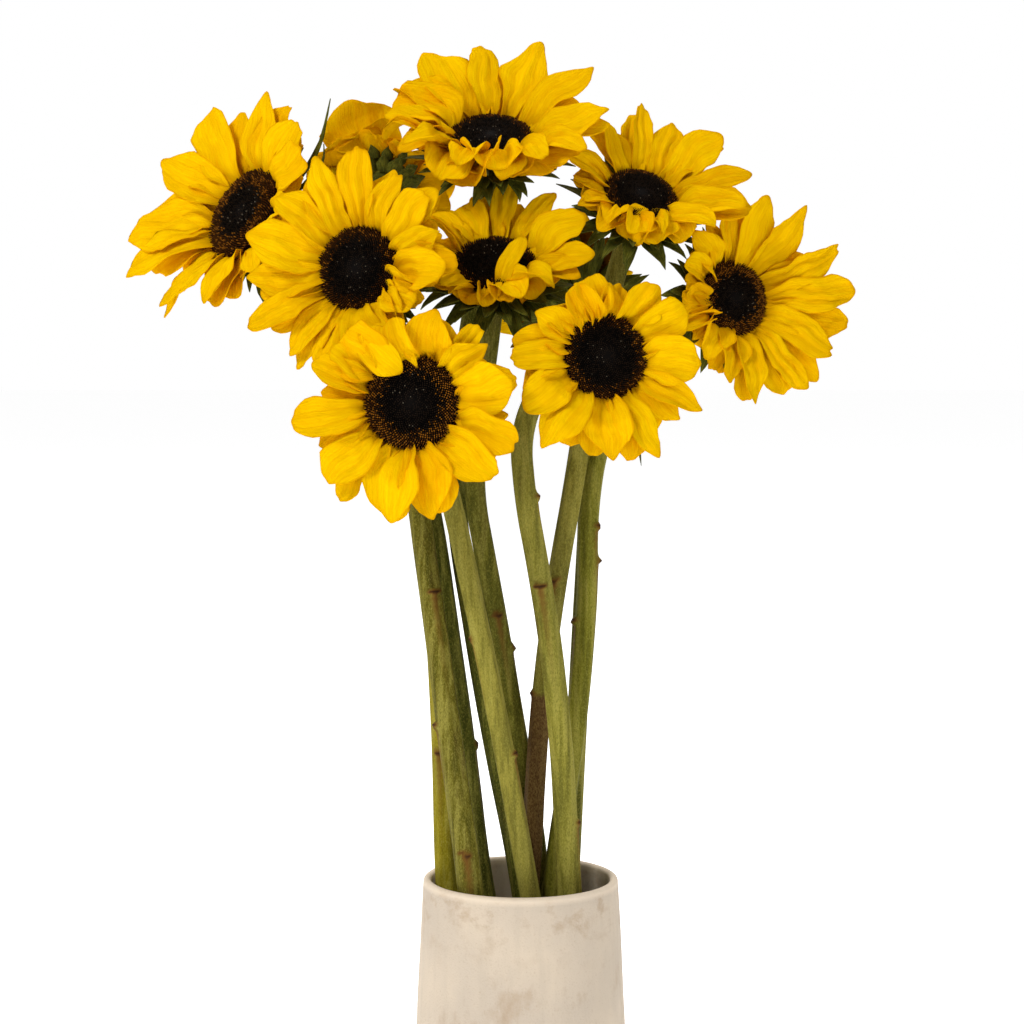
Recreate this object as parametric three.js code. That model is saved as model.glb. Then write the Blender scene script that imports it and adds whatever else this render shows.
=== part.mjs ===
// A bunch of ten cut sunflowers standing in a plain ceramic vase.
// Millimetres, +Z up. The origin is the middle of the vase's flat underside, and the bunch faces -Y.
import * as THREE from 'three';

// The vase: a thick-walled pot, a little wider at its foot than at its rounded lip
const VASE_HEIGHT = 200;
const LIP_RADIUS = 55.7;
const BASE_RADIUS = 62.5;
const WALL = 5.2;
const FLOOR = 8;
const BASE_EDGE = 3;
const VASE_SIDES = 32;

// What touches is this far apart
const GAP = 0.3;

// The stems: round, tapering from the cut foot to the neck under the bloom
const NECK_RADIUS = 5.4;
const NECK_STRAIGHT = 12;
const STEM_SIDES = 6;
const STEM_STEPS = 14;
const STEM_FOOT = FLOOR + GAP;
const STEM_TOP = 430;
const STEM_LEVELS = [STEM_FOOT, 100, VASE_HEIGHT, 280, 360, STEM_TOP];
const STEM_CLEARANCE = 1.8;
const EASE_ROUNDS = 600;
const EASE_STEP = 15;

// A bloom, along the way it faces: calyx behind, then bracts and rays, and the seed disk in front.
// CALYX_SIDE and DOME_SIDE are shares of the disk's radius and of the depth or dome, from the axis out
// and back in. RAY_OUTLINE is one ray's share of its turn, and its share of the full reach there.
const CALYX_DEPTH = 20;
const CALYX_WIDTH = 0.86;
const CALYX_SIDE = [[0.5, 0.6], [CALYX_WIDTH, 0.25], [CALYX_WIDTH, 0]];
const DISK_BACK = -4;
const DISK_DOME = 5;
const DOME_SIDE = [[0.75, 0.75], [0.4, 1]];
const RAY_THICKNESS = 3;
const RAY_TIP_THICKNESS = 2.4;
const RAYS = 14;
const RAY_OUTLINE = [[0, 0.7], [0.25, 0.95], [0.5, 1], [0.75, 0.95]];
const RAY_UNEVEN = 3;
const RAY_SEED = 500;
const BRACTS = 9;
const BRACT_REACH = 15;
const BRACT_NOTCH = 2;
const BRACT_THICKNESS = 2.5;
const BRACT_ROOT_THICKNESS = 4;
const BRACT_SEED = 100;
const ROUND_SIDES = 12;

const CLAY = 0xe0d0ba;
const STEM_GREEN = 0x7a843e;
const BRACT_GREEN = 0x3f4f1e;
const DISK_BROWN = 0x1c0f08;
const RAY_YELLOW = 0xf2b705;

// Each bloom: the middle of its disk, the way it faces, its disk's radius, and how far its rays rise
// towards their tips. Its rays reach spread from the middle, and longer than that on the side at towards,
// in degrees anticlockwise from the right as one looks at its face. Its stem: the radius of its foot,
// where it passes the vase's lip and the top of its straight run, how far it bows to the right between
// them, and any bend on the way to the neck.
const BLOOMS = {
  a: {
    centre: [-157, 24, 577], facing: [-0.67, -0.62, 0.42], disk: 29, cup: 12,
    spread: 72, longer: 13, towards: 170,
    foot: 6.5, lip: [-17, -8], top: [-56, 16], bow: 2, bend: [[-92, 34, 500]],
  },
  b: {
    centre: [-88, -48, 544], facing: [-0.34, -0.92, 0.17], disk: 24.5, cup: 8,
    spread: 62, longer: 5, towards: 160,
    foot: 8, lip: [-32, -22], top: [-60, 2], bow: 0, bend: [[-68, 4, 500]],
  },
  c: {
    centre: [-58, -82, 473], facing: [-0.1, -0.99, 0.05], disk: 26.5, cup: 3,
    spread: 61, longer: 7, towards: 260,
    foot: 5.8, lip: [4, -24], top: [-42, -27], bow: 2, bend: [],
  },
  d: {
    centre: [-17, 12, 618], facing: [0, -0.59, 0.81], disk: 25.5, cup: 17,
    spread: 67, longer: 8, towards: 110,
    foot: 6.3, lip: [-6, 7], top: [-39, 19], bow: -3, bend: [[-28, 32, 520]],
  },
  e: {
    centre: [-15, -20, 547], facing: [0, -0.65, 0.76], disk: 24, cup: 14,
    spread: 53, longer: 6, towards: 75,
    foot: 6.3, lip: [0, 24], top: [-27, -3], bow: 0, bend: [],
  },
  f: {
    centre: [45, -60, 497], facing: [0.2, -0.97, 0.1], disk: 24, cup: 4,
    spread: 56, longer: 6, towards: 270,
    foot: 7.6, lip: [27, -14], top: [1, -31], bow: 5, bend: [[4, -22, 480]],
  },
  g: {
    centre: [67, 6, 585.5], facing: [0.2, -0.7, 0.68], disk: 22, cup: 14,
    spread: 53, longer: 10, towards: 30,
    foot: 6, lip: [10, 4], top: [31, -4], bow: -5, bend: [[42, 12, 495]],
  },
  h: {
    centre: [120, 14, 529], facing: [0.45, -0.88, 0.15], disk: 22.5, cup: 10,
    spread: 58, longer: 13, towards: 345,
    foot: 6.4, lip: [18, 17], top: [40, 12], bow: 5, bend: [[62, 34, 485]],
  },
  i: {
    centre: [-85, 64, 594], facing: [-0.2, 0.9, 0.38], disk: 24, cup: 10,
    spread: 54, longer: 5, towards: 60,
    foot: 7, lip: [-42, 3], top: [-57, 35], bow: 3, bend: [[-76, 32, 540]],
  },
  j: {
    centre: [34, 72, 529], facing: [-0.1, 0.93, 0.35], disk: 23, cup: 9,
    spread: 50, longer: 0, towards: 0,
    foot: 6, lip: [27, 32], top: [40, 31], bow: 0, bend: [],
  },
};

// The same uneven numbers from -1 to 1 on every run
function unevenFrom(seed) {
  let state = seed;
  return () => {
    state = (state * 16807) % 2147483647;
    return (state / 2147483647) * 2 - 1;
  };
}

// A closed skin over rows of points. Each row is a ring, and the last row either joins the first
// or is capped, as the first is.
function skin(rows, capped) {
  const perRow = rows[0].length;
  const points = rows.flat();
  const faces = [];
  const lastJoin = capped ? rows.length - 1 : rows.length;
  for (let row = 0; row < lastJoin; row++) {
    const here = row * perRow;
    const there = ((row + 1) % rows.length) * perRow;
    for (let i = 0; i < perRow; i++) {
      const next = (i + 1) % perRow;
      faces.push(here + i, here + next, there + next, here + i, there + next, there + i);
    }
  }
  if (capped) {
    const end = (rows.length - 1) * perRow;
    for (let i = 1; i < perRow - 1; i++) {
      faces.push(0, i + 1, i, end, end + i, end + i + 1);
    }
  }
  let volume = 0;
  for (let f = 0; f < faces.length; f += 3) {
    const [p, q, r] = [0, 1, 2].map((k) => points[faces[f + k]]);
    volume += p.dot(q.clone().cross(r));
  }
  if (volume < 0) faces.reverse();
  const geometry = new THREE.BufferGeometry().setFromPoints(points);
  geometry.setIndex(faces);
  geometry.computeVertexNormals();
  return geometry;
}

// A solid of revolution about Z, from a profile of [radius, height] that starts and ends on the axis
function turned(profile, sides) {
  const outline = profile.map(([radius, height]) => new THREE.Vector2(radius, height));
  return new THREE.LatheGeometry(outline, sides).rotateX(Math.PI / 2);
}

function piece(name, geometry, colour, roughness) {
  const material = new THREE.MeshStandardMaterial({ color: colour, roughness, metalness: 0 });
  const mesh = new THREE.Mesh(geometry, material);
  mesh.name = name;
  return mesh;
}

function vase() {
  const inner = LIP_RADIUS - WALL;
  const lipMiddle = LIP_RADIUS - WALL / 2;
  const innerFoot = BASE_RADIUS - WALL;
  const profile = [
    [0, 0],
    [BASE_RADIUS - BASE_EDGE, 0],
    [BASE_RADIUS, BASE_EDGE],
    [LIP_RADIUS, VASE_HEIGHT - WALL / 2],
    [lipMiddle + WALL / 4, VASE_HEIGHT - WALL / 8],
    [lipMiddle, VASE_HEIGHT],
    [lipMiddle - WALL / 4, VASE_HEIGHT - WALL / 8],
    [inner, VASE_HEIGHT - WALL / 2],
    [innerFoot, FLOOR + WALL],
    [innerFoot - WALL, FLOOR],
    [0, FLOOR],
  ];
  return piece('vase', turned(profile, VASE_SIDES), CLAY, 0.85);
}

// How much of a stem's place at a level comes from its foot, its passing of the lip and its top
function sharesAt(level) {
  if (level < VASE_HEIGHT) {
    const up = (level - STEM_FOOT) / (VASE_HEIGHT - STEM_FOOT);
    return { foot: 1 - up, lip: up, top: 0 };
  }
  const up = (level - VASE_HEIGHT) / (STEM_TOP - VASE_HEIGHT);
  return { foot: 0, lip: 1 - up, top: up };
}

function placeAt(route, level) {
  const { foot, lip, top } = sharesAt(level);
  const place = route.foot.clone().multiplyScalar(foot)
    .addScaledVector(route.lip, lip).addScaledVector(route.top, top);
  place.x += 4 * route.bow * top * lip;
  return place;
}

// The routes of all the stems up to the top of their straight runs, seen from above. Each foot starts
// where its stem's own line comes down, and stems that would touch push each other apart.
function stemRoutes() {
  const down = (VASE_HEIGHT - STEM_FOOT) / (STEM_TOP - VASE_HEIGHT);
  const routes = Object.values(BLOOMS).map((bloom) => {
    const lip = new THREE.Vector2(...bloom.lip);
    const top = new THREE.Vector2(...bloom.top);
    const foot = lip.clone().addScaledVector(lip.clone().sub(top), down);
    return { foot, lip, top, bow: bloom.bow, radius: bloom.foot };
  });
  for (let round = 0; round < EASE_ROUNDS; round++) {
    for (const route of routes) {
      const room = LIP_RADIUS - WALL - route.radius - GAP;
      route.foot.clampLength(0, room);
      route.lip.clampLength(0, room);
    }
    routes.forEach((route, i) => routes.slice(i + 1).forEach((other) => {
      for (let level = STEM_FOOT; level < STEM_TOP; level += EASE_STEP) {
        const apart = placeAt(other, level).sub(placeAt(route, level));
        const lack = route.radius + other.radius + STEM_CLEARANCE - apart.length();
        if (lack <= 0) continue;
        const { foot, lip } = sharesAt(level);
        apart.setLength(lack / 2);
        route.foot.addScaledVector(apart, -foot);
        route.lip.addScaledVector(apart, -lip);
        other.foot.addScaledVector(apart, foot);
        other.lip.addScaledVector(apart, lip);
      }
    }));
  }
  return routes;
}

// One tapering stem, from its cut foot on the vase's floor to the back of its calyx
function stem(name, bloom, facing, route) {
  const neckEnd = new THREE.Vector3(...bloom.centre)
    .addScaledVector(facing, DISK_BACK - 2 * GAP - CALYX_DEPTH);
  const points = STEM_LEVELS.map((level) => {
    const { x, y } = placeAt(route, level);
    return new THREE.Vector3(x, y, level);
  });
  points.push(...bloom.bend.map((point) => new THREE.Vector3(...point)));
  points.push(neckEnd.clone().addScaledVector(facing, -NECK_STRAIGHT), neckEnd);
  const path = new THREE.CatmullRomCurve3(points, false, 'centripetal');
  const frames = path.computeFrenetFrames(STEM_STEPS, false);
  const rows = frames.normals.map((normal, step) => {
    const share = step / STEM_STEPS;
    const middle = path.getPointAt(share);
    const radius = bloom.foot + (NECK_RADIUS - bloom.foot) * share;
    return Array.from({ length: STEM_SIDES }, (_, side) => {
      const turn = (side / STEM_SIDES) * 2 * Math.PI;
      return middle.clone()
        .addScaledVector(normal, radius * Math.cos(turn))
        .addScaledVector(frames.binormals[step], radius * Math.sin(turn));
    });
  });
  for (const point of rows[0]) point.z = STEM_FOOT;
  return piece(name, skin(rows, true), STEM_GREEN, 0.8);
}

function calyx(name, bloom) {
  const front = DISK_BACK - GAP;
  const profile = [
    [0, front - CALYX_DEPTH],
    [NECK_RADIUS + 1, front - CALYX_DEPTH],
    ...CALYX_SIDE.map(([width, depth]) => [bloom.disk * width, front - CALYX_DEPTH * depth]),
    [0, front],
  ];
  return piece(name, turned(profile, ROUND_SIDES), BRACT_GREEN, 0.8);
}

function disk(name, bloom) {
  const profile = [
    [0, DISK_BACK],
    [bloom.disk, DISK_BACK],
    [bloom.disk, 0],
    ...DOME_SIDE.map(([width, rise]) => [bloom.disk * width, DISK_DOME * rise]),
    [0, DISK_DOME],
  ];
  return piece(name, turned(profile, ROUND_SIDES), DISK_BROWN, 0.95);
}

// A ring round Z from cross sections of [radius, height], one for each turn in turns
function ring(turns, sectionAt) {
  const rows = turns.map((turn, i) => sectionAt(turn, i).map(([radius, height]) =>
    new THREE.Vector3(radius * Math.cos(turn), radius * Math.sin(turn), height)));
  return skin(rows, false);
}

function reachAt(bloom, turn) {
  return bloom.spread + bloom.longer * Math.cos(turn - THREE.MathUtils.degToRad(bloom.towards));
}

// The rays as one cupped sheet with a notch between every two of them
function rays(name, bloom, seed) {
  const uneven = unevenFrom(seed);
  const turns = [];
  const reaches = [];
  const rises = [];
  for (let ray = 0; ray < RAYS; ray++) {
    const rise = bloom.cup + uneven() * RAY_UNEVEN;
    for (const [share, length] of RAY_OUTLINE) {
      const turn = ((ray + share) / RAYS) * 2 * Math.PI;
      turns.push(turn);
      reaches.push(reachAt(bloom, turn) * length);
      rises.push(rise * length);
    }
  }
  const inner = bloom.disk + GAP;
  return piece(name, ring(turns, (turn, i) => [
    [inner, DISK_BACK + RAY_THICKNESS],
    [reaches[i], DISK_BACK + RAY_TIP_THICKNESS + rises[i]],
    [reaches[i], DISK_BACK + rises[i]],
    [inner, DISK_BACK],
  ]), RAY_YELLOW, 0.6);
}

// The bracts as one collar of pointed tips round the calyx, behind the rays
function bracts(name, bloom, seed) {
  const uneven = unevenFrom(seed);
  const inner = (bloom.disk * CALYX_WIDTH) / Math.cos(Math.PI / (2 * BRACTS)) + GAP;
  const front = DISK_BACK - GAP;
  const turns = [];
  const reaches = [];
  for (let bract = 0; bract < BRACTS; bract++) {
    const tip = bloom.disk + BRACT_REACH + uneven() * RAY_UNEVEN;
    turns.push((bract / BRACTS) * 2 * Math.PI, ((bract + 0.5) / BRACTS) * 2 * Math.PI);
    reaches.push(bloom.disk + BRACT_NOTCH, tip);
  }
  return piece(name, ring(turns, (turn, i) => [
    [inner, front],
    [reaches[i], front],
    [reaches[i], front - BRACT_THICKNESS],
    [inner, front - BRACT_ROOT_THICKNESS],
  ]), BRACT_GREEN, 0.8);
}

const bunch = new THREE.Group();
const routes = stemRoutes();
bunch.add(vase());
Object.entries(BLOOMS).forEach(([letter, bloom], index) => {
  const facing = new THREE.Vector3(...bloom.facing).normalize();
  const right = new THREE.Vector3(0, 0, 1).cross(facing).normalize();
  const upward = facing.clone().cross(right);
  const head = new THREE.Group();
  head.position.set(...bloom.centre);
  head.quaternion.setFromRotationMatrix(new THREE.Matrix4().makeBasis(right, upward, facing));
  head.add(
    calyx(`calyx_${letter}`, bloom),
    bracts(`bracts_${letter}`, bloom, BRACT_SEED + index),
    rays(`rays_${letter}`, bloom, RAY_SEED + index),
    disk(`disk_${letter}`, bloom),
  );
  bunch.add(stem(`stem_${letter}`, bloom, facing, routes[index]), head);
});

export default bunch;
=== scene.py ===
import math

import bmesh
import bpy
import numpy as np
from mathutils import Matrix, Vector, noise


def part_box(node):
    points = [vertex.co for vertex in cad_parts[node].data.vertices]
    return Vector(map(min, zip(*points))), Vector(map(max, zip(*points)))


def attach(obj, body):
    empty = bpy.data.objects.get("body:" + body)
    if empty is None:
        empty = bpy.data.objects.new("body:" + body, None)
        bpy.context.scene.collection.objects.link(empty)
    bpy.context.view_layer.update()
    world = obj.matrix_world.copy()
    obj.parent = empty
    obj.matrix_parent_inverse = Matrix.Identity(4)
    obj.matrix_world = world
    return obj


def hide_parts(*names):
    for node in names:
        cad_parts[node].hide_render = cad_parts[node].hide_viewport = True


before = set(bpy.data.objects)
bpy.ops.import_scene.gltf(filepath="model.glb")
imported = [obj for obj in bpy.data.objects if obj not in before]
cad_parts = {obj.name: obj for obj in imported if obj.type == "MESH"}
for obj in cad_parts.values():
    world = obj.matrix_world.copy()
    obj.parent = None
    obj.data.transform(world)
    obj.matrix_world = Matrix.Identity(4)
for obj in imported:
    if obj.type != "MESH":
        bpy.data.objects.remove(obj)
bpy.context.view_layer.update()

# ---- The view: the bunch seen from a little above, under soft even light.
# The floor is plain and pale, and so is everything behind it.
MM = 0.001
CAMERA_PLACE = (-5 * MM, -1363 * MM, 510 * MM)
CAMERA_DIP = 4.25
AMBIENT = 0.40
HEART = (0, 0, 0.5)
scene = bpy.context.scene
scene.view_settings.view_transform = "Standard"

camera_data = bpy.data.cameras.new("camera")
camera_data.lens = 85
camera_data.sensor_width = 36
camera = bpy.data.objects.new("camera", camera_data)
camera.location = CAMERA_PLACE
camera.rotation_euler = (math.radians(90 - CAMERA_DIP), 0, 0)
scene.collection.objects.link(camera)
scene.camera = camera

world = bpy.data.worlds.new("studio")
scene.world = world
world.use_nodes = True
sky = world.node_tree
sky.nodes.clear()
ambient = sky.nodes.new("ShaderNodeBackground")
ambient.inputs["Strength"].default_value = AMBIENT
backdrop = sky.nodes.new("ShaderNodeBackground")
backdrop.inputs["Strength"].default_value = 1.0
for part in (ambient, backdrop):
    part.inputs["Color"].default_value = (1, 1, 1, 1)
seen = sky.nodes.new("ShaderNodeLightPath")
choose = sky.nodes.new("ShaderNodeMixShader")
sky.links.new(seen.outputs["Is Camera Ray"], choose.inputs["Fac"])
sky.links.new(ambient.outputs[0], choose.inputs[1])
sky.links.new(backdrop.outputs[0], choose.inputs[2])
sky.links.new(choose.outputs[0], sky.nodes.new("ShaderNodeOutputWorld").inputs["Surface"])


def soft_light(name, place, aim, side, watts):
    data = bpy.data.lights.new(name, "AREA")
    data.shape = "SQUARE"
    data.size = side
    data.energy = watts
    lamp = bpy.data.objects.new(name, data)
    lamp.location = place
    lamp.rotation_euler = (Vector(aim) - Vector(place)).to_track_quat("-Z", "Y").to_euler()
    scene.collection.objects.link(lamp)


soft_light("key", (-1.3, -1.5, 1.9), HEART, side=0.7, watts=30)
soft_light("fill", (1.6, -1.6, 0.9), HEART, side=1.2, watts=6)
soft_light("floor_wash", (0, 1.6, 2.4), (0, 2.2, 0), side=2.5, watts=60)


# A material is one Principled shader. paint(tree, shader) adds what varies over the surface.
def material(name, colour, roughness, paint=None, **constants):
    made = bpy.data.materials.new(name)
    made.use_nodes = True
    tree = made.node_tree
    shader = tree.nodes["Principled BSDF"]
    shader.inputs["Base Color"].default_value = (*colour, 1)
    shader.inputs["Roughness"].default_value = roughness
    for socket, value in constants.items():
        shader.inputs[socket.replace("_", " ")].default_value = value
    if paint:
        paint(tree, shader)
    made.diffuse_color = (*colour, 1)
    return made


FLOOR_HALF = 20
floor_corners = [(x * FLOOR_HALF, y * FLOOR_HALF, 0) for x, y in ((-1, -1), (1, -1), (1, 1), (-1, 1))]
floor_mesh = bpy.data.meshes.new("floor")
floor_mesh.from_pydata(floor_corners, [], [(0, 1, 2, 3)])
floor_mesh.materials.append(material("pale_floor", (0.96, 0.96, 0.96), 0.9, Emission_Strength=0.6))
floor = bpy.data.objects.new("floor", floor_mesh)
scene.collection.objects.link(floor)


# ---- The vase: a thrown cylinder of pale unglazed clay that narrows a little to its rounded lip.
# It is turned on a wheel, so it isn't quite even, and its skin is mottled, stained and finely gritty.
CLAY = (0.592, 0.494, 0.378)
CLAY_STAIN = (0.370, 0.245, 0.140)
VASE_SIDES = 128
CLAY_WALL = 4.6 * MM
vase_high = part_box("vase")[1]
CLAY_FLOOR = 8 * MM
FOOT_ROUND = 2 * MM
UNEVEN = 0.35 * MM
BELLY = 1.4 * MM


def mesh_object(name, points, faces, look):
    mesh = bpy.data.meshes.new(name)
    mesh.from_pydata([tuple(point) for point in points], [], faces)
    mesh.materials.append(look)
    mesh.polygons.foreach_set("use_smooth", [True] * len(mesh.polygons))
    made = bpy.data.objects.new(name, mesh)
    scene.collection.objects.link(made)
    return made


def hand_over(made, slot, *nodes):
    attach(made, "root")
    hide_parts(*nodes)


# A node with its settings, wired to what feeds it: a number, a colour of three parts or a socket.
def node(tree, kind, settings=None, **feeds):
    made = tree.nodes.new(kind)
    for key, value in (settings or {}).items():
        setattr(made, key, value)
    for key, value in feeds.items():
        slot_name = int(key[1:]) if key[0] == "n" and key[1:].isdigit() else key.replace("_", " ")
        socket = made.inputs[slot_name]
        if isinstance(value, bpy.types.NodeSocket):
            tree.links.new(value, socket)
        else:
            socket.default_value = (*value, 1) if socket.type == "RGBA" else value
    return made


def maths(tree, operation, first, second=0.0):
    return node(tree, "ShaderNodeMath", {"operation": operation}, n0=first, n1=second).outputs[0]


def plus(tree, first, second):
    return maths(tree, "ADD", first, second)


def less(tree, first, second):
    return maths(tree, "SUBTRACT", first, second)


def times(tree, first, second):
    return maths(tree, "MULTIPLY", first, second)


def object_height(tree):
    place = node(tree, "ShaderNodeTexCoord").outputs["Object"]
    return node(tree, "ShaderNodeSeparateXYZ", Vector=place).outputs["Z"]


def object_noise(tree, scale, stretch=(1, 1, 1), *, detail, roughness=0.55):
    place = node(tree, "ShaderNodeTexCoord").outputs["Object"]
    stretched = node(tree, "ShaderNodeMapping", Vector=place, Scale=stretch).outputs[0]
    return node(tree, "ShaderNodeTexNoise", Vector=stretched, Scale=scale, Detail=detail,
                Roughness=roughness).outputs["Fac"]


def between(tree, value, low, high, to_low=0.0, to_high=1.0):
    return node(tree, "ShaderNodeMapRange", {"clamp": True}, Value=value, n1=low, n2=high,
                n3=to_low, n4=to_high).outputs[0]


def blend(tree, amount, first, second):
    return node(tree, "ShaderNodeMix", {"data_type": "RGBA"}, n0=amount, n6=first, n7=second).outputs[2]


def bumped(tree, shader, height, distance, strength):
    bump = node(tree, "ShaderNodeBump", Height=height, Distance=distance, Strength=strength)
    tree.links.new(bump.outputs[0], shader.inputs["Normal"])


def clay_paint(tree, shader):
    cloud = object_noise(tree, 22, (1, 1, 0.7), detail=4)
    brushed = object_noise(tree, 140, (1, 1, 0.12), detail=3)
    blotch = object_noise(tree, 42, (1, 1, 0.7), detail=5, roughness=0.62)
    grit = object_noise(tree, 900, detail=2)
    greyer = (0.92 * CLAY[0], 0.93 * CLAY[1], 0.96 * CLAY[2])
    washed = blend(tree, between(tree, cloud, 0.38, 0.62), tuple(1.05 * c for c in CLAY), greyer)
    stroked = blend(tree, between(tree, brushed, 0.5, 0.7, 0, 0.35), washed, tuple(0.84 * c for c in CLAY))
    below_lip_noise = object_noise(tree, 75, (1, 1, 1.4), detail=4, roughness=0.6)
    height = object_height(tree)
    # Darker in patches in a band below the lip.
    under_lip = between(tree, height, vase_high.z - 45 * MM, vase_high.z - 8 * MM)
    below_lip_patches = times(tree, between(tree, below_lip_noise, 0.52, 0.66, 0, 0.5), under_lip)
    stained = blend(tree, between(tree, blotch, 0.57, 0.72, 0, 0.5), stroked, CLAY_STAIN)
    darkened_below_lip = blend(tree, below_lip_patches, stained, CLAY_STAIN)
    speckled = blend(tree, between(tree, grit, 0.58, 0.74, 0, 0.25), darkened_below_lip, CLAY_STAIN)
    # Lighter on the top of the lip.
    lighter_lip_top = between(tree, height, vase_high.z - 5 * MM, vase_high.z - 2 * MM, 0, 0.6)
    lipped = blend(tree, lighter_lip_top, speckled, tuple(1.4 * c for c in CLAY))
    tree.links.new(lipped, shader.inputs["Base Color"])
    tree.links.new(between(tree, cloud, 0.3, 0.7, 0.72, 0.9), shader.inputs["Roughness"])
    bumped(tree, shader, grit, 0.25 * MM, 0.6)


vase_points = np.array([v.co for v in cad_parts["vase"].data.vertices])
vase_reach = np.hypot(vase_points[:, 0], vase_points[:, 1])
lip_reach = vase_reach[vase_points[:, 2] > vase_high.z - CLAY_WALL].max()
foot_reach = vase_reach.max()


def arc(out, up, radius, degrees):
    return [(out + radius * math.cos(t), up + radius * math.sin(t)) for t in np.radians(degrees)]


# The line that the wheel turns into a vase: under the foot, up the outside, over the lip, down the inside.
def vase_profile():
    line = [(0, 0), (foot_reach * 0.9, 0)]
    line += arc(foot_reach - FOOT_ROUND, FOOT_ROUND, FOOT_ROUND, (-60, -30, 0))
    rise = vase_high.z - CLAY_WALL / 2
    line += [(foot_reach + (lip_reach - foot_reach) * up + BELLY * math.sin(math.pi * up), rise * up)
             for up in np.linspace(0.05, 1, 28)]
    line += arc(lip_reach - CLAY_WALL / 2, rise, CLAY_WALL / 2, range(20, 180, 20))
    inside = lip_reach - CLAY_WALL
    inside_foot = foot_reach - CLAY_WALL
    line += [(inside + (inside_foot - inside) * down, rise + (CLAY_FLOOR + CLAY_WALL - rise) * down)
             for down in np.linspace(0, 1, 20)]
    line += arc(inside_foot - CLAY_WALL, CLAY_FLOOR + CLAY_WALL, CLAY_WALL, (-30, -60, -90))
    return line + [(0, CLAY_FLOOR)]


def turned(name, line, sides, look):
    points = []
    for reach, up in line:
        for turn in np.linspace(0, 2 * math.pi, sides, endpoint=False):
            across = Vector((math.cos(turn), math.sin(turn), 0))
            wobble = UNEVEN * noise.noise(across * 1.5 + Vector((0, 0, up * 30))) * min(1, reach / foot_reach)
            points.append(across * (reach - abs(wobble)) + Vector((0, 0, up)))
    faces = []
    for ring in range(len(line) - 1):
        for side in range(sides):
            here = ring * sides + side
            beside = ring * sides + (side + 1) % sides
            faces.append((here, beside, beside + sides, here + sides))
    made = mesh_object(name, points, faces, look)
    shell = bmesh.new()
    shell.from_mesh(made.data)
    bmesh.ops.remove_doubles(shell, verts=shell.verts, dist=0.001 * MM)
    bmesh.ops.recalc_face_normals(shell, faces=shell.faces)
    shell.to_mesh(made.data)
    shell.free()
    return made


clay = material("pale_clay", CLAY, 0.82, clay_paint)
pot = turned("clay_vase", vase_profile(), VASE_SIDES, clay)
hand_over(pot, "clay", "vase")


# ---- The stems: ten cut stalks, stiff and round, a little ribbed, rough with short hairs.
# Most have old leaf scars: a torn ledge with a dry brown streak under it. One has browned low down.
# They stand loose in the vase.
LETTERS = "abcdefghij"
STALK_SIDES = 28
STALK_STEPS = 260
NECK = 5.6 * MM
RIBS = 7.0
RIB_DEPTH = 0.34 * MM
KNOBBLE = 0.55 * MM
# The scars that show: how far above the vase's lip, in mm, and which side (0 right, 180 left, 270 front).
SCARS = {
    "a": ((75, 0),), "b": ((165, 290), (90, 180), (20, 270)), "c": ((140, 200), (75, 350)),
    "e": ((150, 280), (130, 0)), "f": ((170, 265), (220, 0), (35, 350)), "g": ((170, 250), (105, 200)),
    "h": ((180, 0), (145, 190), (200, 330)), "i": ((70, 250),),
}
SCAR_STANDS = (1.2, 2.4)
LEDGE_HALF = 1.9 * MM
LEDGE_EDGE = 1.5 * MM
EDGE_LIFT = 0.6 * MM
SWELLING = 9 * MM
DRY_STREAK = 26 * MM
STALK_TINTS = {
    "a": (0.085, 0.088, 0.009), "b": (0.124, 0.104, 0.009), "c": (0.275, 0.236, 0.036),
    "d": (0.090, 0.095, 0.009), "e": (0.130, 0.120, 0.012), "f": (0.215, 0.192, 0.026),
    "g": (0.180, 0.152, 0.020), "h": (0.185, 0.172, 0.014), "i": (0.300, 0.240, 0.008),
    "j": (0.120, 0.112, 0.014),
}
DRY = (0.040, 0.017, 0.006)
BROWN_STALK = (0.062, 0.022, 0.007)
# How far above the vase's lip, in mm, a stalk has browned. The others have not.
BROWN_TOP = {"g": 105}
NOT_BROWNED = -900
# A stem's solid is a row of rings with this many corners.
RING_CORNERS = 6


# A group of nodes, with its inputs and outputs named and the sockets inside it that they come and go by.
def node_group(name, kind, inputs, outputs):
    tree = bpy.data.node_groups.new(name, kind)
    for way, sockets in (("INPUT", inputs), ("OUTPUT", outputs)):
        for label, carries in sockets:
            tree.interface.new_socket(label, in_out=way, socket_type="NodeSocket" + carries)
    return tree, tree.nodes.new("NodeGroupInput").outputs, tree.nodes.new("NodeGroupOutput").inputs


def grown(name, points, edges, tree, values):
    """The plain mesh that a tree of nodes grows on these points and edges."""
    seed_mesh = bpy.data.meshes.new(name)
    seed_mesh.from_pydata([tuple(point) for point in points], edges, [])
    start = bpy.data.objects.new(name, seed_mesh)
    modifier = start.modifiers.new("grow", "NODES")
    modifier.node_group = tree
    for socket in tree.interface.items_tree:
        if socket.in_out == "INPUT" and socket.name in values:
            modifier[socket.identifier] = values[socket.name]
    scene.collection.objects.link(start)
    evaluated = start.evaluated_get(bpy.context.evaluated_depsgraph_get())
    mesh = bpy.data.meshes.new_from_object(evaluated)
    mesh.name = name
    start.modifiers.remove(modifier)
    start.data = mesh
    bpy.data.meshes.remove(seed_mesh)
    return start


SHAPE = [("Geometry", "Geometry")]


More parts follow.
